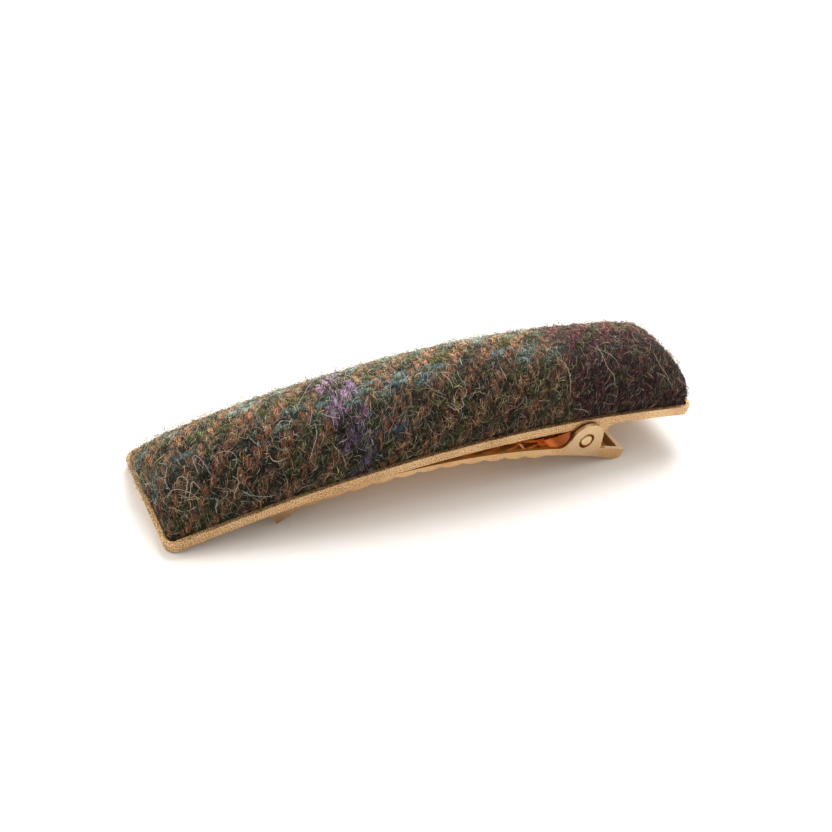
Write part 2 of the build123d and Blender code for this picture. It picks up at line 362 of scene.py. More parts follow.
from_eye = jaw_gold.distance(jaw_gold.join(along, 0, up), EYE_PLACE)
outside = jaw_gold.mix(from_eye.ramp(2.4 * MM, 4.4 * MM, 0.45, 0.0), outside, linear(208, 188, 154))
# Painted reflection: the inside's deep orange, of light bounced between the plates.
deep = jaw_gold.mix(along.ramp(10 * MM, 16 * MM), linear(246, 176, 92), linear(206, 116, 36))
colour = jaw_gold.mix(inside, outside, deep)
# Painted reflection of the white room on the tail's inside: paler and less metallic.
jaw_gold.set("Base Color", jaw_gold.mix(tail, colour, linear(240, 218, 180)))
jaw_gold.set("Metallic", 1 - tail * 0.8 - inside * 0.35)
jaw_gold.set("Roughness", rough * (1 - inside * 0.55))

for node, finish in (("tray", satin), ("lower_jaw", jaw_gold), ("leaf_spring", bright)):
    for slot in range(len(nodes[node].data.materials)):
        nodes[node].data.materials[slot] = finish.material
print("metal finishes on the tray, the jaw and the spring")

# %% [markdown]
# The pad is felt padding covered in tweed that is pulled over it and tucked into
# the tray. Across the clip it is a flat-topped dome, along it the ends are
# rounded, and it is a little fuller at the hinge end. The shape follows that
# rule: two rounded curves multiplied. Points are spread evenly along the cloth,
# so a place on the cloth, in millimetres, is also a place in the grid.

# %% The pad's shape
PAD_HALF_LENGTH = 39.3
PAD_HALF_WIDTH = 8.3
PAD_RISE = 5.65         # above the tucked edge, at both ends
PAD_LEAN = 1.0          # so much more at the hinge end, and less at the other
PAD_CROWN = 1.6         # so much more in the middle
PAD_EDGE = 1.1          # height of the tucked edge above the tray's underside
PAD_FLOOR = 0.62        # the closed underside lies just over the tray's floor
END_SQUARENESS = 18
SIDE_SQUARENESS, SIDE_SOFTNESS = 3.7, 0.83
END_BULGE = 1.0         # the hinge end bulges out over the rim
SIDE_BULGE = 0.28
BULGE_HEIGHT = 4.8      # the bulge is widest at half of this height
CORNER_CUT = 0.4        # rounds the corners seen from above
FINE_STEPS = 4001


def pad_rise(along, across):
    """Height of the dome above its tucked edge."""
    part = along / PAD_HALF_LENGTH
    ends = np.clip(1 - np.abs(part) ** END_SQUARENESS, 0, 1) ** 0.5
    sides = np.clip(1 - np.abs(across / PAD_HALF_WIDTH) ** SIDE_SQUARENESS, 0, 1) ** SIDE_SOFTNESS
    return (PAD_RISE + PAD_LEAN * part + PAD_CROWN * (1 - part**2)) * ends * sides


def evenly(half, height_at, count):
    """Evenly spaced places along a curve from -half to half, and their distance along it from its middle."""
    fine = half * np.sin(np.linspace(-pi / 2, pi / 2, FINE_STEPS))
    steps = np.hypot(np.diff(fine), np.diff(height_at(fine)))
    length = np.concatenate([[0], np.cumsum(steps)])
    length -= length[-1] / 2
    wanted = np.linspace(length[0], length[-1], count)
    return np.interp(wanted, length, fine), wanted


def pad_grid(rows, columns, shrink=0.0):
    """The dome as a grid on the straight strip, in millimetres, and each point's place on the cloth."""
    along, cloth_u = evenly(PAD_HALF_LENGTH, lambda x: pad_rise(x, 0 * x), rows)
    across, cloth_v = evenly(PAD_HALF_WIDTH, lambda y: pad_rise(0 * y, y), columns)
    x, y = np.meshgrid(along, across, indexing="ij")
    rise = pad_rise(x, y) * (1 - shrink)
    near_end, near_side = np.abs(x) / PAD_HALF_LENGTH, np.abs(y) / PAD_HALF_WIDTH
    belly = np.sin(np.clip(rise / BULGE_HEIGHT, 0, 1) * pi)
    # The left end bulges at the back and is drawn in a little at the front.
    left_bulge = 1.3 * np.clip((y + 1) / 8, 0, 1) - 0.3
    bulge = np.where(x > 0, END_BULGE, left_bulge)
    x_round = x + np.sign(x) * near_end**14 * (bulge * belly - CORNER_CUT * near_side**6)
    y_round = y + np.sign(y) * (SIDE_BULGE * belly * near_side**6 - CORNER_CUT * near_end**26 * near_side**4)
    u, v = np.meshgrid(cloth_u, cloth_v, indexing="ij")
    return np.stack([x_round, y_round, PAD_EDGE + rise], -1), np.stack([u, v], -1)


_, cloth = pad_grid(5, 5)
print("cloth is", np.round(np.ptp(cloth, axis=(0, 1)), 1), "mm long and wide")

# %% [markdown]
# Real padding swells unevenly. Cloth simulation gives that: a coarse blank of the
# dome, a little too low, is blown up gently with its edge pinned in the tray. The
# blank is made ten times larger, because Cloth is tuned for things of about a
# metre. How far each point moved is capped and kept as a smooth field.

# %% Puff up the pad
ROWS, COLUMNS = 44, 15  # of the blank
BLANK_UNIT = 10 * MM    # a millimetre on the blank
BLANK_SHRINK = 0.03
PUFF_FRAMES = 20
MOST_SWELL = 0.45


def grid_mesh(name, places, closed_below=None):
    """A grid of points as a mesh. With closed_below, its edge goes down to that height and it is closed there."""
    rows, columns = places.shape[:2]
    points = [places.reshape(-1, 3)]
    index = np.arange(rows * columns).reshape(rows, columns)
    faces = [np.stack([index[:-1, :-1], index[1:, :-1], index[1:, 1:], index[:-1, 1:]], -1).reshape(-1, 4)]
    ends = []
    if closed_below is not None:
        low = places.copy()
        low[..., 2] = closed_below
        rim = np.concatenate([index[:, 0], index[-1, 1:], index[-2::-1, -1], index[0, -2:0:-1]])
        ring = rows * columns + np.arange(len(rim))
        points.append(low.reshape(-1, 3)[rim])
        faces.append(np.stack([rim, ring, np.roll(ring, -1), np.roll(rim, -1)], -1))
        # The underside: a quad for each row but the last at each end, and one face for each end.
        front = ring[:rows][1:-1]
        back = ring[rows + columns - 2:2 * rows + columns - 2][::-1][1:-1]
        faces.append(np.stack([front[:-1], back[:-1], back[1:], front[1:]], -1))
        right = [ring[i] for i in range(rows - 2, rows + columns)]
        left = [ring[i] for i in range(-columns, 0)] + [ring[0], ring[1]]
        ends = [right[::-1], left[::-1]]
    mesh = bpy.data.meshes.new(name)
    polygons = [tuple(int(i) for i in face) for face in [*np.concatenate(faces), *ends]]
    mesh.from_pydata(np.concatenate(points).tolist(), [], polygons)
    mesh.update()
    return mesh


def puffed(rows, columns):
    """How far each point of a coarse grid moves when the pad swells, in millimetres."""
    start, _ = pad_grid(rows, columns, shrink=BLANK_SHRINK)
    blank = bpy.data.objects.new("pad_blank", grid_mesh("pad_blank", start * BLANK_UNIT))
    scene.collection.objects.link(blank)
    pinned = blank.vertex_groups.new(name="tucked_in")
    edge = np.ones((rows, columns), bool)
    edge[1:-1, 1:-1] = False
    pinned.add([int(i) for i in np.flatnonzero(edge.ravel())], 1.0, "REPLACE")
    swell = blank.modifiers.new("swell", "CLOTH")
    swell.settings.quality = 6
    swell.settings.use_pressure = True
    swell.settings.uniform_pressure_force = 4.0
    swell.settings.tension_stiffness = 40.0
    swell.settings.compression_stiffness = 10.0
    swell.settings.bending_stiffness = 2.0
    swell.settings.vertex_group_mass = "tucked_in"
    swell.settings.effector_weights.gravity = 0.0
    swell.collision_settings.use_collision = False
    swell.point_cache.frame_end = PUFF_FRAMES
    for frame_number in range(1, PUFF_FRAMES + 1):
        scene.frame_set(frame_number)
    shaped = bpy.data.meshes.new_from_object(blank.evaluated_get(bpy.context.evaluated_depsgraph_get()))
    places = np.zeros(rows * columns * 3, np.float32)
    shaped.vertices.foreach_get("co", places)
    scene.frame_set(1)
    bpy.data.objects.remove(blank)
    return places.reshape(rows, columns, 3) * (1 / BLANK_UNIT) - start


swelling = puffed(ROWS, COLUMNS)
reach = np.linalg.norm(swelling, axis=-1, keepdims=True)
print("padding moved by", round(float(reach.mean()), 2), "mm, at most", round(float(reach.max()), 2))
swelling *= np.minimum(1, MOST_SWELL / np.maximum(reach, 1e-6))

# %% [markdown]
# The cloth is a two-and-two twill of thick yarn: each yarn goes over two and
# under two, a step further along in each row, which draws the slanting lines. The
# rule that says which yarn is on top also gives its height, so it is written once
# here with numbers to shape the mesh, and once more below with nodes for colour.
# Hand-woven yarns are never straight, so soft hills of noise sway the rule's lines.

# %% Weave relief and the pad's mesh
YARN = 1.2                         # width of a yarn
FIRST_WARP = -16.6                 # along the cloth, where the lilac stripe begins
FIRST_WEFT = -3.0                  # across the cloth, where the teal yarns begin
RELIEF = 0.2
SWAY, JITTER = 0.3, 0.14           # how far the yarns stray, over a long way and a short one
PAD_ROWS, PAD_COLUMNS = 340, 100
RELIEF_FADE, FIBRE_FADE = 1.2, 0.8  # both fade out so close above the tucked edge
TINY = 1e-12


def smooth_noise(u, v, size, seed):
    """Soft hills, mostly between -1 and 1, about size millimetres apart."""
    made = np.zeros_like(u)
    rng = np.random.default_rng(seed)
    for _ in range(9):
        angle, phase, stretch = rng.uniform(0, 2 * pi), rng.uniform(0, 2 * pi), rng.uniform(0.7, 1.5)
        made += np.sin((u * cos(angle) + v * sin(angle)) * stretch * 2 * pi / size + phase)
    return made / 4


def weave_heights(u, v):
    """Height of the warp yarn and of the weft yarn at a place on the cloth."""
    warp, weft = (u - FIRST_WARP) / YARN, (v - FIRST_WEFT) / YARN
    warp_rise = np.sin((weft - np.floor(warp) + 1) * pi / 2)
    weft_rise = np.sin((warp - np.floor(weft) - 2) * pi / 2)
    warp_height = np.cos((warp % 1 - 0.5) * pi) * (0.55 + 0.45 * warp_rise)
    weft_height = np.cos((weft % 1 - 0.5) * pi) * (0.55 + 0.45 * weft_rise)
    return warp_height, weft_height


def spline_weights(count, wanted):
    """How much each of count points weighs at each wanted place, as a smooth B-spline."""
    at = np.linspace(0, count - 1, wanted)[:, None] - np.arange(-1, count + 1)[None, :]
    a = np.abs(at)
    inner, outer = 2 / 3 - a**2 + a**3 / 2, np.clip(2 - a, 0, None) ** 3 / 6
    made = np.where(a < 1, inner, outer)
    made[:, 1] += made[:, 0]
    made[:, -2] += made[:, -1]
    return made[:, 1:-1]


def woven(places, spots):
    """The smooth pad with its yarns standing out, and the place on the swaying cloth of each point."""
    u, v = spots[..., 0], spots[..., 1]
    sway_u = u + SWAY * smooth_noise(u, v, 7.0, 1) + JITTER * smooth_noise(u, v, 2.3, 2)
    sway_v = v + SWAY * smooth_noise(u, v, 8.0, 3) + JITTER * smooth_noise(u, v, 2.6, 4)
    outward = np.cross(np.gradient(places, axis=0), np.gradient(places, axis=1))
    outward /= np.linalg.norm(outward, axis=-1, keepdims=True) + 1e-9
    warp_height, weft_height = weave_heights(sway_u, sway_v)
    height = np.maximum(warp_height, weft_height) - 0.75 + 0.25 * smooth_noise(u, v, 1.1, 5)
    free = np.clip((places[..., 2] - PAD_EDGE) / RELIEF_FADE, 0, 1) ** 0.7
    places = places + outward * (RELIEF * height * free)[..., None]
    return places, np.stack([sway_u, sway_v], -1)


def bend(points):
    return strip_to_clip(points[..., 0], points[..., 1], points[..., 2])


def store(mesh, name, values, kind="FLOAT_VECTOR"):
    """Keeps one value a point on the mesh, zero on the points below the edge."""
    width = 3 if kind == "FLOAT_VECTOR" else 1
    data = np.zeros((len(mesh.vertices), width), np.float32)
    data[:len(values)] = values.reshape(len(values), -1)
    attribute = mesh.attributes.new(name, kind, "POINT")
    attribute.data.foreach_set("vector" if width == 3 else "value", data.ravel())


smooth_places, cloth_spots = pad_grid(PAD_ROWS, PAD_COLUMNS)
smooth_places = smooth_places + np.einsum(
    "ai,bj,ijk->abk", spline_weights(ROWS, PAD_ROWS), spline_weights(COLUMNS, PAD_COLUMNS), swelling)
pad_places, pad_cloth = woven(smooth_places, cloth_spots)

pad_mesh = grid_mesh("tweed_cover", pad_places, PAD_FLOOR)
straight = np.zeros(len(pad_mesh.vertices) * 3, np.float32)
pad_mesh.vertices.foreach_get("co", straight)
pad_mesh.vertices.foreach_set("co", bend(straight.reshape(-1, 3).astype(float)).astype(np.float32).ravel())
pad_mesh.shade_smooth()
pad_mesh.update()

bent = bend(pad_places)
heading = np.gradient(bent, axis=0)
heading /= np.linalg.norm(heading, axis=-1, keepdims=True) + TINY
free = np.clip((pad_places[..., 2] - PAD_EDGE) / FIBRE_FADE, 0, 1)
spots = np.concatenate([pad_cloth.reshape(-1, 2), np.zeros((PAD_ROWS * PAD_COLUMNS, 1))], -1)
store(pad_mesh, "cloth", spots)
store(pad_mesh, "along", heading.reshape(-1, 3))
store(pad_mesh, "open", free.reshape(-1), "FLOAT")
pad = bpy.data.objects.new("tweed_cover", pad_mesh)
scene.collection.objects.link(pad)
print("pad faces", len(pad_mesh.polygons), "height", round(float(bent[..., 2].max() / MM), 2), "mm")

# %% [markdown]
# A tweed gets its colour from its yarns. The warp runs across the clip: mostly
# rust brown, four lilac yarns for a stripe, and dark plum at the hinge end. The
# weft runs along the clip: mostly moss and black, with a few teal yarns near the
# crest. Which yarn shows follows from the weave's rule. Each yarn is spun from
# mixed wool, so streaks along the twist and specks of other colours are added.
# Painted light makes the wool paler on the crest, and painted shade makes it
# darker low on the sides and between yarns.

# %% Tweed colours
RUST, BROWN = linear(148, 99, 72), linear(113, 85, 64)
MOSS, BLACK = linear(71, 77, 44), linear(40, 39, 29)
TEAL, BLUE = linear(98, 125, 119), linear(84, 109, 126)
LILAC, PURPLE = linear(160, 122, 166), linear(100, 86, 118)
PLUM, ROSE, WINE = linear(84, 49, 50), linear(160, 108, 100), linear(64, 43, 42)
OLIVE, CREAM, MIST = linear(70, 68, 44), linear(214, 196, 164), linear(176, 196, 194)
TWIST = radians(64)        # slant of the wool's streaks on the cloth
PLUM_FROM = (16.2, 17.8)   # along the cloth
BLUE_YARN = (-9.5, -7.4)   # middle of the short blue piece, along and across
# CREST centres the painted light across the cloth; MOST_LIGHT caps the brightening.
CREST = 5.8                # across the cloth
MOST_LIGHT = 9.0           # no wool is brightened more than this
PALEST = (0.85, 0.85, 0.85)


def tweed_colour(bench, spot, lightness):
    """The colour of the yarn on top at a place on the cloth, in millimetres, with painted light and shade, and its
    streaks.
    """
    u, v, _ = bench.split(spot)

    # The rule of the weave, as in weave_heights.
    warp, weft = (u - FIRST_WARP) / YARN, (v - FIRST_WEFT) / YARN
    warp_id, weft_id = warp.floor(), weft.floor()
    warp_rise = ((weft - warp_id + 1) * (pi / 2)).sine()
    weft_rise = ((warp - weft_id - 2) * (pi / 2)).sine()
    warp_height = ((warp - warp_id - 0.5) * pi).cosine() * (0.55 + 0.45 * warp_rise)
    weft_height = ((weft - weft_id - 0.5) * pi).cosine() * (0.55 + 0.45 * weft_rise)

    # Streaks along the twist, patches of several yarns, and specks.
    along_twist = u * cos(TWIST) + v * sin(TWIST)
    across_twist = v * cos(TWIST) - u * sin(TWIST)
    strand = bench.noise(bench.join(along_twist * 0.7, across_twist * 7.5, 0.0), 1.0, 3.0, 0.65)
    patch = bench.noise(bench.join(u, v, 3.0), 0.45, 2.0, 0.6)
    speck = bench.noise(bench.join(along_twist * 1.2, across_twist * 4.0, 9.0), 1.0, 1.0, 0.5)

    # A yarn shows for the length of two others, which is called a float. Each has its own tint.
    def chance(x, y, z):
        values = {"Vector": bench.join(x, y, z)}
        return bench.wire("ShaderNodeTexWhiteNoise", {"noise_dimensions": "3D"}, values)

    warp_float = chance(warp_id, ((weft - warp_id + 1) / 4).floor(), 1.0)
    weft_float = chance(((warp - weft_id - 2) / 4).floor(), weft_id, 2.0)
    lead = warp_height - weft_height + (strand - 0.5) * 1.9 + (warp_float - 0.5) * 0.6 - 0.12
    on_top = lead.ramp(-0.12, 0.2)

    # The warp: rust and brown, lilac in the stripe, plum at the hinge end.
    rust = bench.mix((patch * 0.5 + warp_float * 0.5).ramp(0.35, 0.7), RUST, BROWN)
    lilac = bench.mix(v.ramp(-7.0, -2.5), PURPLE, LILAC)
    in_lilac = warp_id.between(-0.5, 3.5) * strand.ramp(0.35, 0.55)
    warp_colour = bench.mix(in_lilac, rust, lilac)
    in_plum = (u + v * 0.08 + (patch - 0.5) * 3).ramp(*PLUM_FROM)
    plum = bench.mix(v.ramp(3.0, 6.5), PLUM, ROSE)
    warp_colour = bench.mix(in_plum, warp_colour, plum)

    # The weft: moss and black, teal in two bands, a short piece of blue, wine and olive at the hinge end.
    moss = bench.mix((patch * 0.6 + weft_float * 0.4).ramp(0.35, 0.62), BLACK, MOSS)
    teal = bench.mix(warp_float.ramp(0.8, 0.95), TEAL, BLUE)
    in_teal = weft_id.between(-0.5, 2.5) + weft_id.between(4.5, 6.5)
    near_left = (0 - u).ramp(28.0, 38.0)
    teal_shows = (speck * 0.3 + weft_float * 0.7 + near_left * 0.2).ramp(0.45, 0.59, 0.05, 0.82)
    weft_colour = bench.mix(in_teal * teal_shows, moss, teal)
    in_blue = abs(v - BLUE_YARN[1]).below(0.7) * 0.6 * abs(u - BLUE_YARN[0]).ramp(3.5, 6.0, 1.0, 0.0)
    weft_colour = bench.mix(in_blue, weft_colour, BLUE)
    olive_patch = patch.ramp(0.46, 0.58, 0.0, 0.85)
    olive_shows = olive_patch * u.ramp(19.0, 24.0, 0.3, 1.0) * v.ramp(-9.5, -6.5, 0.25, 1.0)
    wine = bench.mix(olive_shows, WINE, OLIVE)
    weft_colour = bench.mix(in_plum * 0.85, weft_colour, wine)

    # Both together, the specks, and how light the wool is: painted light on the
    # crest, painted shade low on the sides and between the yarns.
    colour = bench.mix(on_top, weft_colour, warp_colour)
    speck_colour = bench.mix(patch.ramp(0.45, 0.55), CREAM, OLIVE)
    colour = bench.mix(speck.ramp(0.64, 0.72) * 0.5, colour, speck_colour)
    crest_painted_light = abs(v - CREST - u * u * 0.0013).ramp(0.0, 9.9, 2.55, 0.55)
    painted_shading = warp_height.math("MAXIMUM", weft_height).ramp(0.3, 0.9, 0.4, 1.12) * crest_painted_light
    light = (strand.ramp(0.32, 0.68, 0.15, 1.9) * painted_shading * lightness).math("MINIMUM", MOST_LIGHT)
    return bench.vector("MINIMUM", bench.times(colour, light), PALEST), strand


ATTRIBUTE_COLOUR, ATTRIBUTE_VECTOR = 0, 1  # outputs of the Attribute node


def stored(bench, name, out):
    return bench.wire("ShaderNodeAttribute", {"attribute_name": name}, out=out)


cover = Finish("tweed_cover", Roughness=0.92, Sheen_Weight=0.06, Sheen_Tint=linear(238, 236, 230),
               Specular_IOR_Level=0.2)
colour, strand = tweed_colour(cover, stored(cover, "cloth", ATTRIBUTE_VECTOR), 1.1)
cover.set("Base Color", colour)
cover.bump(strand, 0.12 * MM, 0.8)
pad_mesh.materials.append(cover.material)
print("tweed nodes", len(cover.tree.nodes))

# %% [markdown]
# Woollen tweed is hairy: fibres leave the yarn, lie over it and come back. Each
# fibre is a bent line with a thin round section. Geometry nodes spread points on
# the cloth, put a line on each, bend it over the surface and give it a thickness.
# Every fibre keeps the cloth place of its root, so it takes its yarn's colour.
# Two coats lie close and follow the twist, two more lie loosely in all
# directions, and the fuzz stands up, which softens the outline.

# %% Fibres by geometry nodes
MEASURES = ("Density", "Length", "Lift", "Thickness", "Curl", "Spread", "Stand", "Drift", "Lightness", "Pale")
DARKEST, LIGHTEST = -2.4, 1.4  # of a fibre, as a power of e


def fibre_tree():
    """Fibres on a cloth. Stand goes from 0, both ends in the cloth, to 1, one end free."""
    tree = bpy.data.node_groups.new("tweed_fibres", "GeometryNodeTree")
    sockets = (("Cloth", "Geometry"), *((name, "Float") for name in MEASURES),
               ("Steps", "Int"), ("Seed", "Int"), ("Finish", "Material"))
    for name, kind in sockets:
        tree.interface.new_socket(name, in_out="INPUT", socket_type="NodeSocket" + kind)
    tree.interface.new_socket("Fibres", in_out="OUTPUT", socket_type="NodeSocketGeometry")
    b = Bench(tree)
    given = b.node("NodeGroupInput").outputs
    size = {name: Wire(b, given[name]) for name, _ in sockets}

    def named(name, kind="FLOAT_VECTOR"):
        return b.wire("GeometryNodeInputNamedAttribute", {"data_type": kind}, {"Name": name})

    def keep(geometry, name, value, kind="FLOAT"):
        values = {"Geometry": geometry, "Name": name, "Value": value}
        return b.node("GeometryNodeStoreNamedAttribute", {"data_type": kind, "domain": "POINT"}, values).outputs[0]

    def chance(low, high, salt):
        """A random number for each point, with its own salt for each use."""
        made = b.node("FunctionNodeRandomValue", {"data_type": "FLOAT"})
        b.feed(made.inputs[2], low)
        b.feed(made.inputs[3], high)
        b.feed(made.inputs["Seed"], size["Seed"] + salt)
        return Wire(b, made.outputs[1])

    # Roots: spread over the open part of the cloth.
    spread = b.node("GeometryNodeDistributePointsOnFaces", {"distribute_method": "RANDOM"}, {
        "Mesh": size["Cloth"], "Density": size["Density"], "Seed": size["Seed"],
        "Selection": named("open", "FLOAT").above(0.6)})
    points, normal = spread.outputs["Points"], Wire(b, spread.outputs["Normal"])

    # Each root's direction and sizes.
    along = named("along")
    across = b.vector("CROSS_PRODUCT", normal, along)
    angle = TWIST + chance(-1.0, 1.0, 1) * chance(0.0, 1.0, 2) * size["Spread"]
    direction = b.vector("ADD", b.times(along, angle.cosine()), b.times(across, angle.sine()))
    points = keep(points, "root", b.wire("GeometryNodeInputPosition"), "FLOAT_VECTOR")
    points = keep(points, "up", normal, "FLOAT_VECTOR")
    points = keep(points, "way", direction, "FLOAT_VECTOR")
    points = keep(points, "reach", size["Length"] * chance(0.5, 1.35, 3))
    points = keep(points, "tint", chance(0.0, 1.0, 4))
    points = keep(points, "stand", size["Stand"] * chance(0.0, 1.0, 10))
    points = keep(points, "height", size["Lift"] * (chance(0.0, 1.0, 5) ** 2.0))

    # Its dye: the yarn's colour with its painted light and shade, a little way off,
    # lighter or darker, and for a few cream or grey; more cream near the crest is painted sheen.
    drift = [size["Drift"] * chance(-1.0, 1.0, salt) * chance(0.2, 1.0, salt + 10) for salt in (6, 7)]
    spot = b.vector("ADD", named("cloth"), b.join(*drift))
    bright = chance(DARKEST, LIGHTEST, 8)
    dye, _ = tweed_colour(b, spot, bright.math("EXPONENT") * size["Lightness"])
    odd = chance(0.0, 1.0, 9)
    on_u, on_v, _ = b.split(spot)
    # Painted sheen: more cream fibres near the crest, as if lit from behind.
    crest_painted_sheen = abs(on_v - 5.0).ramp(0.0, 6.5, 0.16, 0.0)
    pale = (size["Pale"] + crest_painted_sheen) * on_u.ramp(14.5, 18.0, 1.0, 0.55)
    cream = b.times(CREAM[:3], bright.ramp(DARKEST, LIGHTEST, 0.12, 1.0))
    dye = b.mix(odd.below(pale) * 0.75, dye, cream)
    dye = b.mix(odd.above(1 - pale * 0.2) * 0.5, dye, MIST)
    points = keep(points, "dye", dye, "FLOAT_COLOR")

    # A line on each root, bent over the cloth: up in a bow or standing, and wandering sideways.
    line = b.node("GeometryNodeCurvePrimitiveLine", None, {"End": (0, 0, MM)}).outputs[0]
    line = b.node("GeometryNodeResampleCurve", {"mode": "COUNT"}, {
        "Curve": line, "Count": size["Steps"]}).outputs[0]
    lines = b.node("GeometryNodeInstanceOnPoints", None, {"Points": points, "Instance": line}).outputs[0]
    lines = b.node("GeometryNodeRealizeInstances", None, {0: lines}).outputs[0]
    part = Wire(b, b.node("GeometryNodeSplineParameter").outputs["Factor"])
    root, up, way = named("root"), named("up"), named("way")
    reach, tint, height, stand = (named(name, "FLOAT") for name in ("reach", "tint", "height", "stand"))
    bow = 4 * part * (1 - part)
    free = bow * (1 - stand) + part * stand
    wander = b.node("ShaderNodeTexNoise", {"noise_dimensions": "4D"}, {
        "Vector": b.vector("MULTIPLY", root, (300.0, 300.0, 300.0)), "W": tint * 90 + part * 1.3,
        "Scale": 1.0, "Detail": 1.0})
    wander = b.vector("SUBTRACT", Wire(b, wander.outputs["Color"]), (0.5, 0.5, 0.5))
    place = b.vector("ADD", root, b.times(way, reach * (part - 0.5)))
    place = b.vector("ADD", place, b.times(up, height * free - 0.04 * MM))
    place = b.vector("ADD", place, b.times(wander, reach * size["Curl"] * free))
    lines = b.node("GeometryNodeSetPosition", None, {"Geometry": lines, "Position": place}).outputs[0]

    # A thin three-sided section that gets finer towards both ends.
    thin = 1 - abs(part * 2 - 1) ** 3.0 * 0.7
    ring = b.node("GeometryNodeCurvePrimitiveCircle", {"mode": "RADIUS"}, {
        "Resolution": 3, "Radius": 1.0}).outputs[0]
    hair = b.node("GeometryNodeCurveToMesh", None, {
        "Curve": lines, "Profile Curve": ring, "Fill Caps": True,
        "Scale": size["Thickness"] * thin * (0.7 + tint * 0.6)}).outputs[0]
    for spare in ("root", "up", "way", "reach", "height", "stand", "tint", "cloth", "along", "open"):
        hair = b.node("GeometryNodeRemoveAttribute", None, {"Geometry": hair, "Name": spare}).outputs[0]
    hair = b.node("GeometryNodeRealizeInstances", None, {0: hair}).outputs[0]
    hair = b.node("GeometryNodeSetMaterial", None, {"Geometry": hair, "Material": size["Finish"]}).outputs[0]
    b.feed(b.node("NodeGroupOutput").inputs[0], hair)
    return tree


def grow(name, finish, **sizes):
    """A plain mesh of fibres that grow from the pad."""
    holder = bpy.data.objects.new(name, pad_mesh)
    scene.collection.objects.link(holder)
    modifier = holder.modifiers.new("fibres", "NODES")
    modifier.node_group = fibres
    wanted = {**sizes, "Finish": finish}
    for item in fibres.interface.items_tree:
        if item.in_out == "INPUT" and item.name in wanted:
            modifier[item.identifier] = wanted[item.name]
    holder.update_tag()
    bpy.context.view_layer.update()
    mesh = bpy.data.meshes.new_from_object(holder.evaluated_get(bpy.context.evaluated_depsgraph_get()))
    holder.modifiers.clear()
    holder.data = mesh
    mesh.name = name
    mesh.shade_smooth()
    print(name, "faces", len(mesh.polygons), "triangles", sum(len(p.vertices) - 2 for p in mesh.polygons))
    return holder


CLOSE_COAT = dict(Density=6.5e6, Length=0.88 * MM, Lift=0.28 * MM, Thickness=0.038 * MM, Curl=0.7, Spread=1.8,
                  Stand=0.3, Drift=1.1, Lightness=1.9, Pale=0.08, Steps=3)
LOOSE_COAT = dict(Density=3.6e6, Length=1.3 * MM, Lift=0.42 * MM, Thickness=0.029 * MM, Curl=1.1, Spread=3.1,
                  Stand=0.5, Drift=2.0, Lightness=2.0, Pale=0.16, Steps=5)
FUZZ = dict(Density=3.6e6, Length=1.8 * MM, Lift=1.5 * MM, Thickness=0.02 * MM, Curl=1.0, Spread=3.1,
            Stand=1.0, Drift=3.0, Lightness=2.4, Pale=0.35, Steps=4)

wool = Finish("tweed_fibre", Roughness=0.85, Sheen_Weight=0.12, Sheen_Tint=linear(238, 236, 230),
              Specular_IOR_Level=0.25)
wool.set("Base Color", stored(wool, "dye", ATTRIBUTE_COLOUR))

fibres = fibre_tree()
coat = []
for number, layer in enumerate((CLOSE_COAT, CLOSE_COAT, LOOSE_COAT, LOOSE_COAT), 1):
    coat.append(grow(f"tweed_coat_{number}", wool.material, Seed=number * 11, **layer))
coat.append(grow("tweed_fuzz", wool.material, Seed=77, **FUZZ))

# %% [markdown]
# A few long hairs lie on the cloth in loops, paler than the rest. Twenty-six of
# them are drawn where they are seen, as places on the cloth; the others wander
# at random, and three hang down over the rim. Each becomes a thin tube that
# follows the cloth and lifts off it a little between its ends.

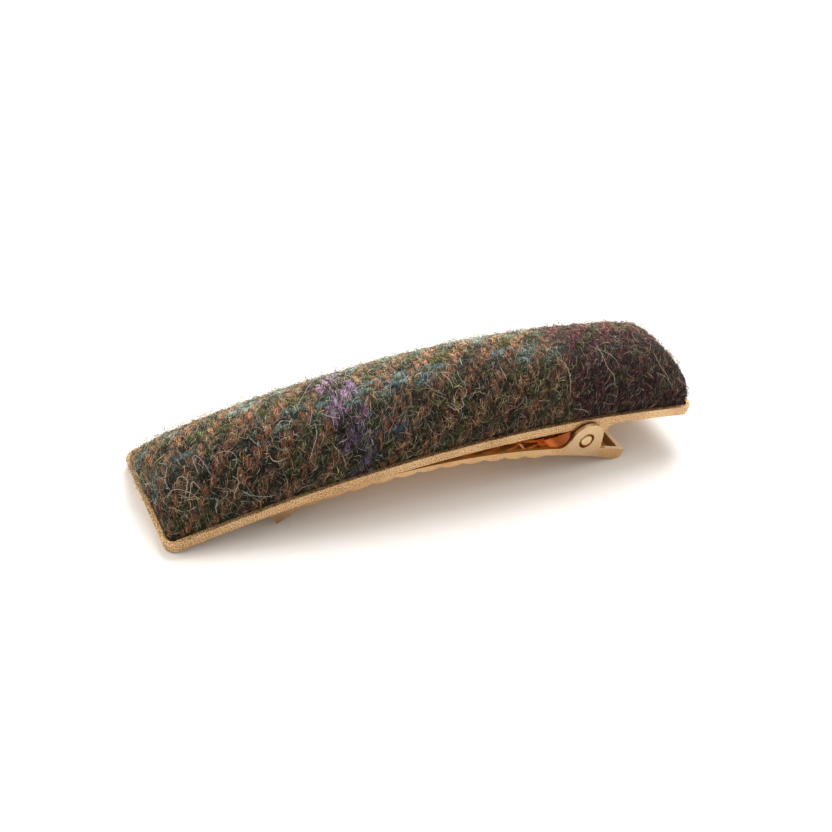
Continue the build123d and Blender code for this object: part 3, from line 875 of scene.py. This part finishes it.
# %% Loose hairs
DYES = {"mist": (178, 196, 200), "green": (160, 180, 160), "cream": (216, 204, 180),
        "tan": (172, 146, 118), "lilac": (196, 168, 200)}
DRAWN_STRETCH, DRAWN_SHIFT = 0.945, -11.8  # from the drawn places to places across the cloth
DRAWN = [
    ("mist", [(-33.9, 8), (-33.8, 10.5), (-33.3, 10.9), (-32.9, 9.7), (-32.6, 7.5)]),
    ("mist", [(-37.7, 13.8), (-36.8, 11.8), (-37.7, 10), (-37.9, 8.5)]),
    ("green", [(-33.6, 1.5), (-33.6, 2.7), (-33.2, 3.4), (-31.7, 4), (-31.6, 5)]),
    ("cream", [(-30.4, 6.2), (-29.9, 5.1), (-30.9, 3.7), (-31.1, 2.7)]),
    ("mist", [(-29.9, 3.7), (-29.2, 2.7), (-27.4, 1.5), (-25.9, 1)]),
    ("mist", [(-18.6, 9), (-19.2, 7), (-19.9, 6), (-21.1, 3.9)]),
    ("cream", [(-25.4, 7), (-25.2, 6), (-24.4, 5.6), (-23.2, 5.7)]),
    ("mist", [(-26.7, 10.5), (-26.4, 9.2), (-25.9, 8.4)]),
    ("cream", [(-17.6, 10.2), (-16.9, 9), (-15.4, 8.2)]),
    ("lilac", [(-15.4, 11), (-15.1, 9.5), (-15.2, 8)]),
    ("cream", [(-9.4, 13.7), (-8.8, 11.2)]),
    ("tan", [(-4.9, 8.7), (-3.7, 8.7), (-2.2, 7.5), (-1.4, 7)]),
    ("cream", [(-1.7, 6), (-0.9, 5), (0.3, 5.2), (0.5, 6.5)]),
    ("cream", [(-0.9, 10.5), (-0.2, 7.7)]),
    ("tan", [(-19.9, 1.5), (-18.9, 1.7), (-18.1, 1.2), (-17.8, 0.5)]),
    ("tan", [(-21.9, 6.7), (-21.2, 5.5)]),
    ("cream", [(23.3, 11), (23.05, 7), (23.9, 5.5), (24.3, 3.4)]),
    ("cream", [(16.3, 9), (16.7, 7), (16.7, 3)]),
    ("green", [(13.8, 5), (14.8, 4), (14.5, 3)]),
    ("cream", [(17.3, 1.5), (18.8, 1.2), (20.3, 0.3)]),
    ("green", [(31.8, 5.5), (33.5, 4.3), (34.8, 2.7)]),
    ("tan", [(35.3, 5), (37, 3.2)]),
    ("cream", [(7.3, 9.5), (7, 8.5), (7.5, 7.2)]),
    ("cream", [(-36.9, 8.6), (-36.2, 9.3), (-35.4, 8.4), (-35.9, 7.2), (-36.6, 6.4)]),
    ("cream", [(-36.5, 5.2), (-35.6, 6.6), (-34.9, 7.6), (-34.4, 6.3)]),
    ("tan", [(-37.2, 7.4), (-36.2, 6.0), (-35.2, 5.5), (-34.7, 4.2)]),
]
HANGING = [
    [(-24.0, -8.4, 7.0), (-24.6, -9.4, 6.4), (-24.2, -10.0, 4.5), (-24.1, -9.9, 2.2), (-24.4, -9.8, 0.9)],
    [(-34.6, -8.4, 4.6), (-34.2, -9.5, 3.6), (-33.4, -10.0, 2.6), (-32.6, -10.0, 1.2)],
    [(-18.5, -8.4, 7.6), (-18.9, -9.3, 8.2), (-17.8, -9.8, 7.4), (-17.0, -9.4, 6.2)],
]
WANDERING = 64                                 # hairs that wander at random
WANDERING_DYES = ["cream", "cream", "tan", "tan", "tan", "green"]
HAIR_STEP = 0.8
DRAWN_RADIUS, WANDERING_RADIUS, HANGING_RADIUS = 0.026, 0.017, 0.02
TUBE_SIDES = 4

smooth_bent = bend(smooth_places)
outward = np.cross(np.gradient(smooth_bent, axis=0), np.gradient(smooth_bent, axis=1))
outward /= np.linalg.norm(outward, axis=-1, keepdims=True) + TINY
CLOTH_U, CLOTH_V = cloth_spots[-1, 0, 0], cloth_spots[0, -1, 1]


def on_cloth(u, v, lift):
    """The place above a spot of the cloth, in metres."""
    i = np.clip((u / CLOTH_U + 1) / 2, 0, 1) * (PAD_ROWS - 1)
    j = np.clip((v / CLOTH_V + 1) / 2, 0, 1) * (PAD_COLUMNS - 1)
    i0, j0 = np.minimum(i.astype(int), PAD_ROWS - 2), np.minimum(j.astype(int), PAD_COLUMNS - 2)
    a, b = (i - i0)[:, None], (j - j0)[:, None]

    def between(field):
        low = field[i0, j0] * (1 - b) + field[i0, j0 + 1] * b
        return low * (1 - a) + (field[i0 + 1, j0] * (1 - b) + field[i0 + 1, j0 + 1] * b) * a
    return between(smooth_bent) + between(outward) * lift[:, None] * MM


def over_cloth(spots, base, bow, roundness=1.0):
    """A line over spots of the cloth that lifts off by base and bow, with both ends dipping in."""
    part = np.linspace(0, 1, len(spots))
    lift = base + bow * np.sin(part * pi) ** roundness - 0.2 * np.abs(part * 2 - 1) ** 6
    return on_cloth(spots[:, 0], spots[:, 1], lift)


def rounded(points, between):
    """A smooth line through points, with a number of places between each two."""
    points = np.asarray(points, float)
    padded = np.concatenate([2 * points[:1] - points[1:2], points, 2 * points[-1:] - points[-2:-1]])
    t = np.linspace(0, 1, between, endpoint=False)[:, None]
    made = [0.5 * (2 * b + (c - a) * t + (2 * a - 5 * b + 4 * c - d) * t**2 + (3 * b - a - 3 * c + d) * t**3)
            for a, b, c, d in zip(padded, padded[1:], padded[2:], padded[3:])]
    return np.concatenate(made + [points[-1:]])


def loose_hairs():
    """All loose hairs as a line in metres, a dye and a radius in millimetres."""
    rng = np.random.default_rng(5)
    lines = []
    for dye, spots in DRAWN:
        spots = rounded([(u, v * DRAWN_STRETCH + DRAWN_SHIFT) for u, v in spots], 7)
        lines.append((over_cloth(spots, 0.12, rng.uniform(0.25, 0.55)), dye, DRAWN_RADIUS))
    for _ in range(WANDERING):
        u, v = rng.uniform(-41, 41), rng.uniform(-11, 11)
        heading, turn, spots = rng.uniform(0, 2 * pi), rng.normal(0, 0.15), [(u, v)]
        for _ in range(rng.integers(3, 8)):
            turn += rng.normal(0, 0.22)
            heading += turn
            u, v = u + HAIR_STEP * cos(heading), v + HAIR_STEP * sin(heading)
            spots.append((u, v))
        line = over_cloth(rounded(spots, 3), 0.1, rng.uniform(0.15, 0.8), 0.8)
        lines.append((line, rng.choice(WANDERING_DYES), WANDERING_RADIUS))
    for places in HANGING:
        lines.append((rounded(places, 5) * MM, "tan", HANGING_RADIUS))
    return lines


def tubes(name, lines):
    """Thin tubes along lines, closed at both ends, one mesh."""
    points, faces, dyes, start = [], [], [], 0
    turn = np.arange(TUBE_SIDES) * 2 * pi / TUBE_SIDES
    for line, dye, radius in lines:
        step = np.gradient(line, axis=0)
        step /= np.linalg.norm(step, axis=1, keepdims=True) + TINY
        side = np.cross(step, (0.3, 0.2, 1.0))
        side /= np.linalg.norm(side, axis=1, keepdims=True) + TINY
        other = np.cross(step, side)
        part = np.linspace(-1, 1, len(line))
        thick = radius * MM * (1 - 0.6 * part**8)
        ring = side[:, None] * np.cos(turn)[None, :, None] + other[:, None] * np.sin(turn)[None, :, None]
        points.append((line[:, None] + ring * thick[:, None, None]).reshape(-1, 3))
        for i in range(len(line) - 1):
            for k in range(TUBE_SIDES):
                a, b = start + i * TUBE_SIDES + k, start + i * TUBE_SIDES + (k + 1) % TUBE_SIDES
                faces.append((a, b, b + TUBE_SIDES, a + TUBE_SIDES))
        last = start + (len(line) - 1) * TUBE_SIDES
        faces.append(tuple(start + k for k in range(TUBE_SIDES))[::-1])
        faces.append(tuple(last + k for k in range(TUBE_SIDES)))
        dyes += [linear(*DYES[dye])] * (len(line) * TUBE_SIDES)
        start = last + TUBE_SIDES
    mesh = bpy.data.meshes.new(name)
    mesh.from_pydata(np.concatenate(points).tolist(), [], faces)
    colours = mesh.attributes.new("dye", "FLOAT_COLOR", "POINT")
    colours.data.foreach_set("color", np.array(dyes, np.float32).ravel())
    mesh.shade_smooth()
    mesh.materials.append(wool.material)
    made = bpy.data.objects.new(name, mesh)
    scene.collection.objects.link(made)
    print(name, "faces", len(mesh.polygons))
    return made


coat.append(tubes("loose_hairs", loose_hairs()))

# %% [markdown]
# Everything that belongs to the pad rides on the upper half of the clip. The
# cover stands for the plain pad of the measured shape, and is soft to the touch.

# %% Join the pieces to the frame
for piece in [pad, *coat]:
    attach(piece, "clip_top")
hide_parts("tweed_pad")
print("pieces on the upper half", 1 + len(coat))
